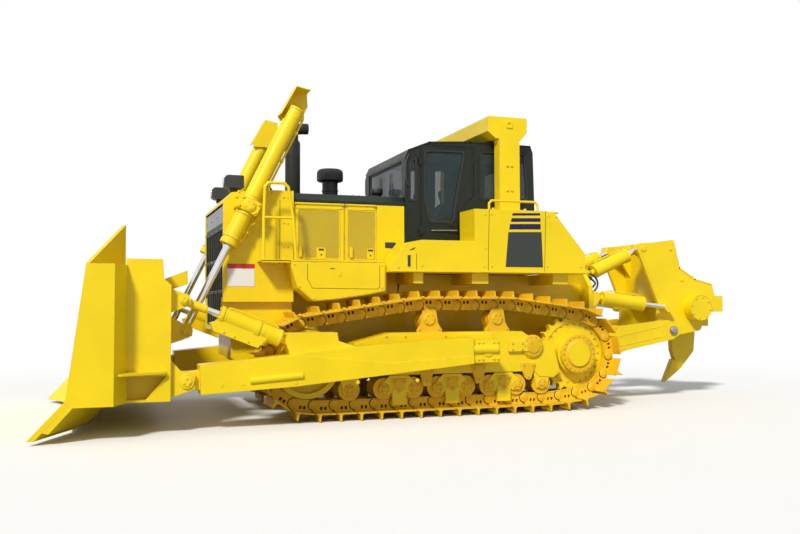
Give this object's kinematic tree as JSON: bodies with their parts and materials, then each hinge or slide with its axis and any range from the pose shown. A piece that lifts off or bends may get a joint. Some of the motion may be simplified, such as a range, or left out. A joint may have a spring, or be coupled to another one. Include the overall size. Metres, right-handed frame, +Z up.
{
  "type": "bulldozer",
  "caption": "Crawler tractor with a semi-U blade on push arms, an enclosed cab under a rollover frame, raised engine hood and a single-shank ripper at the rear.",
  "frame": {"origin": "on the ground under the middle of the object's box, midway between its foremost and rearmost points and between its sides", "axes": "+X towards the blade, the way the machine drives forwards; +Y to its left; +Z up"},
  "size_m": [10.8674, 4.695, 4.4352],
  "materials": {
    "yellow_paint": "satin",
    "dark_paint": "satin",
    "worn_steel": "worn",
    "chromed_rod": "polished",
    "engine_iron": "matt",
    "core_aluminium": "matt",
    "tinted_glass": "clear",
    "seat_cloth": "woven",
    "black_plastic": "matt",
    "track_steel": "worn",
    "exhaust_steel": "matt"
  },
  "bodies": {
    "tractor": {"air_cleaners": "exhaust_steel", "bogies_left": "yellow_paint", "bogies_right": "yellow_paint", "cab": "dark_paint", "cab_glass": "tinted_glass", "control_consoles": "black_plastic", "engine": "engine_iron", "exhaust": "exhaust_steel", "fender_left": "yellow_paint", "fender_rail_left": "yellow_paint", "fender_rail_right": "yellow_paint", "fender_right": "yellow_paint", "grille": "dark_paint", "headlamps": "black_plastic", "hood": "yellow_paint", "hull": "yellow_paint", "idler_left": "yellow_paint", "idler_right": "yellow_paint", "operator_seat": "seat_cloth", "radiator": "core_aluminium", "radiator_guard": "yellow_paint", "rear_bracket": "yellow_paint", "rollers_left": "yellow_paint", "rollers_right": "yellow_paint", "rollover_frame": "yellow_paint", "side_deck_left": "yellow_paint", "side_deck_right": "yellow_paint", "side_rail_left": "yellow_paint", "side_rail_right": "yellow_paint", "sprocket_left": "yellow_paint", "sprocket_right": "yellow_paint", "track_frame_left": "yellow_paint", "track_frame_right": "yellow_paint", "track_left": "track_steel", "track_right": "track_steel"},
    "engine_cover_front_left": {"engine_cover_front_left": "yellow_paint"},
    "engine_cover_front_right": {"engine_cover_front_right": "yellow_paint"},
    "engine_cover_rear_left": {"engine_cover_rear_left": "yellow_paint"},
    "engine_cover_rear_right": {"engine_cover_rear_right": "yellow_paint"},
    "cab_door_left": {"cab_door_left": "dark_paint", "door_glass_left": "tinted_glass"},
    "cab_door_right": {"cab_door_right": "dark_paint", "door_glass_right": "tinted_glass"},
    "push_arms": {"push_arm_left": "yellow_paint", "push_arm_right": "yellow_paint"},
    "blade": {"blade": "yellow_paint", "cutting_edge": "worn_steel"},
    "lift_barrels": {"lift_barrels": "yellow_paint"},
    "lift_rods": {"lift_rods": "chromed_rod"},
    "brace_barrels": {"brace_barrels": "yellow_paint"},
    "brace_rods": {"brace_rods": "chromed_rod"},
    "ripper_arm": {"ripper_arm": "yellow_paint"},
    "ripper_pins": {"ripper_pins": "worn_steel"},
    "ripper_beam": {"ripper_beam": "yellow_paint", "ripper_shank": "yellow_paint", "ripper_tip": "worn_steel"},
    "ripper_raise_barrels": {"ripper_raise_barrels": "yellow_paint"},
    "ripper_raise_rods": {"ripper_raise_rods": "chromed_rod"},
    "ripper_tilt_barrels": {"ripper_tilt_barrels": "yellow_paint"},
    "ripper_tilt_rods": {"ripper_tilt_rods": "chromed_rod"}
  },
  "joints": [
    {"name": "dozer_lift", "type": "hinge", "parent": "tractor", "child": "push_arms", "pos_m": [-0.23, 0, 0.9], "axis": [0, -1, 0], "range_deg": [-8, 17]},
    {"name": "blade_pitch", "type": "hinge", "parent": "push_arms", "child": "blade", "pos_m": [3.71, 0, 0.61], "axis": [0, -1, 0], "range_deg": [-5, 5]},
    {"name": "lift_barrel_swing", "type": "hinge", "parent": "tractor", "child": "lift_barrels", "pos_m": [2.87, 0, 2.815], "axis": [0, -1, 0], "range_deg": [-7.6, 16.1]},
    {"name": "lift_rod_slide", "type": "slide", "parent": "lift_barrels", "child": "lift_rods", "axis": [0.439, 0, -0.8985], "range_m": [-1.08, 0.51]},
    {"name": "brace_swing", "type": "hinge", "parent": "push_arms", "child": "brace_barrels", "pos_m": [2.33, 0, 1.01], "axis": [0, -1, 0], "range_deg": [-1.3, 1.3]},
    {"name": "brace_slide", "type": "slide", "parent": "brace_barrels", "child": "brace_rods", "axis": [0.9287, 0, 0.3708], "range_m": [-0.078, 0.078]},
    {"name": "ripper_lift", "type": "hinge", "parent": "tractor", "child": "ripper_arm", "pos_m": [-2.6, 0, 0.9], "axis": [0, 1, 0], "range_deg": [-18, 32]},
    {"name": "ripper_pin_turn", "type": "hinge", "parent": "ripper_arm", "child": "ripper_pins", "pos_m": [-3.98, 0, 1.1], "axis": [0, -1, 0], "range_deg": [-12, 21.2]},
    {"name": "ripper_tilt", "type": "hinge", "parent": "ripper_pins", "child": "ripper_beam", "pos_m": [-3.98, 0, 1.1], "axis": [0, -1, 0], "range_deg": [-4.5, 17]},
    {"name": "ripper_tilt_swing", "type": "hinge", "parent": "tractor", "child": "ripper_tilt_barrels", "pos_m": [-2.62, 0, 1.975], "axis": [0, 1, 0], "range_deg": [-24, 42.6]},
    {"name": "ripper_tilt_slide", "type": "slide", "parent": "ripper_tilt_barrels", "child": "ripper_tilt_rods", "axis": [-0.9121, 0, 0.41], "range_m": [-0.1055, 0.396]},
    {"name": "ripper_raise_swing", "type": "hinge", "parent": "tractor", "child": "ripper_raise_barrels", "pos_m": [-2.57, 0, 1.63], "axis": [0, 1, 0], "range_deg": [-18.2, 32.4]},
    {"name": "ripper_raise_slide", "type": "slide", "parent": "ripper_raise_barrels", "child": "ripper_raise_rods", "axis": [-0.9932, 0, -0.116], "range_m": [-0.257, 0.145]},
    {"name": "cab_door_left", "type": "hinge", "parent": "tractor", "child": "cab_door_left", "pos_m": [0.382, 0.968, 3.1], "axis": [0, 0, -1], "range_deg": [0, 90]},
    {"name": "cab_door_right", "type": "hinge", "parent": "tractor", "child": "cab_door_right", "pos_m": [0.382, -0.968, 3.1], "axis": [0, 0, 1], "range_deg": [0, 90]},
    {"name": "engine_cover_front_left", "type": "hinge", "parent": "tractor", "child": "engine_cover_front_left", "pos_m": [1.858, 0.966, 2.9], "axis": [1, 0, 0], "range_deg": [0, 95]},
    {"name": "engine_cover_front_right", "type": "hinge", "parent": "tractor", "child": "engine_cover_front_right", "pos_m": [1.858, -0.966, 2.9], "axis": [-1, 0, 0], "range_deg": [0, 95]},
    {"name": "engine_cover_rear_left", "type": "hinge", "parent": "tractor", "child": "engine_cover_rear_left", "pos_m": [1.269, 0.966, 2.9], "axis": [1, 0, 0], "range_deg": [0, 95]},
    {"name": "engine_cover_rear_right", "type": "hinge", "parent": "tractor", "child": "engine_cover_rear_right", "pos_m": [1.269, -0.966, 2.9], "axis": [-1, 0, 0], "range_deg": [0, 95]}
  ],
  "couplings": [
    {"joint": "lift_barrel_swing", "follows": "dozer_lift", "ratio": 0.94},
    {"joint": "lift_rod_slide", "follows": "dozer_lift", "m_per_rad": -3.622},
    {"joint": "brace_swing", "follows": "blade_pitch", "ratio": 0.2555},
    {"joint": "brace_slide", "follows": "blade_pitch", "m_per_rad": -0.8828},
    {"joint": "ripper_pin_turn", "follows": "ripper_lift", "ratio": 0.66},
    {"joint": "ripper_tilt_swing", "follows": "ripper_lift", "ratio": 1.33},
    {"joint": "ripper_tilt_slide", "follows": "ripper_tilt", "m_per_rad": 1.331},
    {"joint": "ripper_raise_swing", "follows": "ripper_lift", "ratio": 1.01},
    {"joint": "ripper_raise_slide", "follows": "ripper_lift", "m_per_rad": -0.4584}
  ]
}
